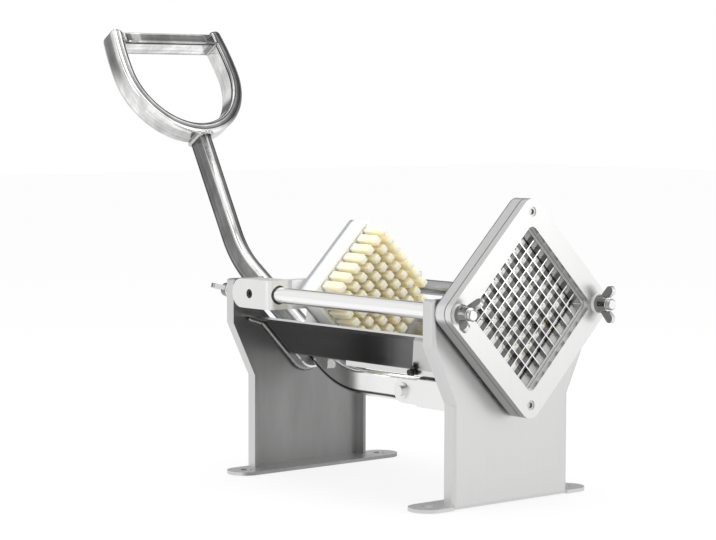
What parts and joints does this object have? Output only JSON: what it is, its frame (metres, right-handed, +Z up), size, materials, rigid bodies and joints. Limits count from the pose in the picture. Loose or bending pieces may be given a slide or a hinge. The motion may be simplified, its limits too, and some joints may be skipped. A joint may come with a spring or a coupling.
{
  "type": "french fry cutter",
  "caption": "Lever-operated potato cutter: a linked lever drives a sliding pin pusher along two rods into a diamond blade grid held between sheet-metal stands.",
  "frame": {"origin": "centre of the four foot holes, on the table plane", "axes": "+X from the rear stand to the front stand and the blades, +Y to the far side, +Z up"},
  "size_m": [0.4671, 0.165, 0.3422],
  "materials": {
    "satin_sheet": "satin stainless sheet, fine vertical grain",
    "trough_sheet": "satin stainless sheet, long grain",
    "weld_metal": "rippled weld bead",
    "rod_steel": "ground and polished",
    "spacer_metal": "satin, in shade",
    "frame_metal": "machined, satin",
    "blade_steel": "mirror polished",
    "rivet_steel": "turned",
    "fastener_steel": "turned, bright",
    "wing_nut_steel": "cast and polished",
    "bracket_metal": "satin",
    "link_metal": "satin with long grain",
    "spring_steel": "dark, oiled",
    "cast_metal": "cast and machined, satin",
    "bush_metal": "dark bearing metal",
    "plate_metal": "satin plate",
    "pusher_plastic": "moulded, smooth",
    "tube_steel": "polished tube"
  },
  "bodies": {
    "frame": {"front_stand": "satin_sheet", "rear_stand": "satin_sheet", "food_trough": "trough_sheet", "trough_welds": "weld_metal", "slot_screws": "spring_steel", "guide_rod_near": "rod_steel", "guide_rod_far": "rod_steel", "frame_spacer": "spacer_metal", "frame_body": "frame_metal", "frame_cover": "frame_metal", "blades_rising": "blade_steel", "blades_falling": "blade_steel", "frame_rivets": "rivet_steel", "front_washers": "fastener_steel", "rear_washers": "fastener_steel", "link_bracket": "bracket_metal", "bracket_pin": "fastener_steel", "bracket_clips": "spring_steel"},
    "carriage": {"carriage": "cast_metal", "slide_bushes": "bush_metal", "slide_set_screws": "spring_steel", "pusher_plate": "plate_metal", "pusher_block": "pusher_plastic", "pusher_screws": "fastener_steel", "lever_pivot_pin": "fastener_steel", "pivot_clips": "spring_steel"},
    "lever": {"lever_tube": "tube_steel", "lever_ears": "bracket_metal", "lever_bush": "bracket_metal", "handle_loop": "tube_steel", "handle_grip": "tube_steel", "handle_caps": "tube_steel", "handle_weld": "weld_metal"},
    "link": {"link_bar_near": "link_metal", "link_bar_far": "link_metal", "link_spacer": "spring_steel", "link_bolts": "fastener_steel"},
    "wing_nut_fn": {"wing_nut_front_near": "wing_nut_steel"},
    "wing_nut_ff": {"wing_nut_front_far": "wing_nut_steel"},
    "wing_nut_rn": {"wing_nut_rear_near": "wing_nut_steel"},
    "wing_nut_rf": {"wing_nut_rear_far": "wing_nut_steel"}
  },
  "joints": [
    {"name": "carriage_slide", "type": "slide", "parent": "frame", "child": "carriage", "axis": [1, 0, 0], "range_m": [0, 0.143]},
    {"name": "lever_hinge", "type": "hinge", "parent": "carriage", "child": "lever", "pos_m": [-0.0865, 0, 0.14], "axis": [0, 1, 0], "range_deg": [0, 66.03]},
    {"name": "link_hinge", "type": "hinge", "parent": "frame", "child": "link", "pos_m": [0.1045, 0, 0.071], "axis": [0, -1, 0], "range_deg": [0, 38.59]},
    {"name": "wing_nut_fn_spin", "type": "hinge", "parent": "frame", "child": "wing_nut_fn", "pos_m": [0.142, -0.0685, 0.14], "axis": [1, 0, 0], "continuous": true},
    {"name": "wing_nut_ff_spin", "type": "hinge", "parent": "frame", "child": "wing_nut_ff", "pos_m": [0.142, 0.0685, 0.14], "axis": [1, 0, 0], "continuous": true},
    {"name": "wing_nut_rn_spin", "type": "hinge", "parent": "frame", "child": "wing_nut_rn", "pos_m": [-0.125, -0.0685, 0.14], "axis": [1, 0, 0], "continuous": true},
    {"name": "wing_nut_rf_spin", "type": "hinge", "parent": "frame", "child": "wing_nut_rf", "pos_m": [-0.125, 0.0685, 0.14], "axis": [1, 0, 0], "continuous": true}
  ],
  "couplings": [
    {"joint": "lever_hinge", "follows": "carriage_slide", "rad_per_m": 8.058},
    {"joint": "link_hinge", "follows": "carriage_slide", "rad_per_m": 4.7087}
  ]
}
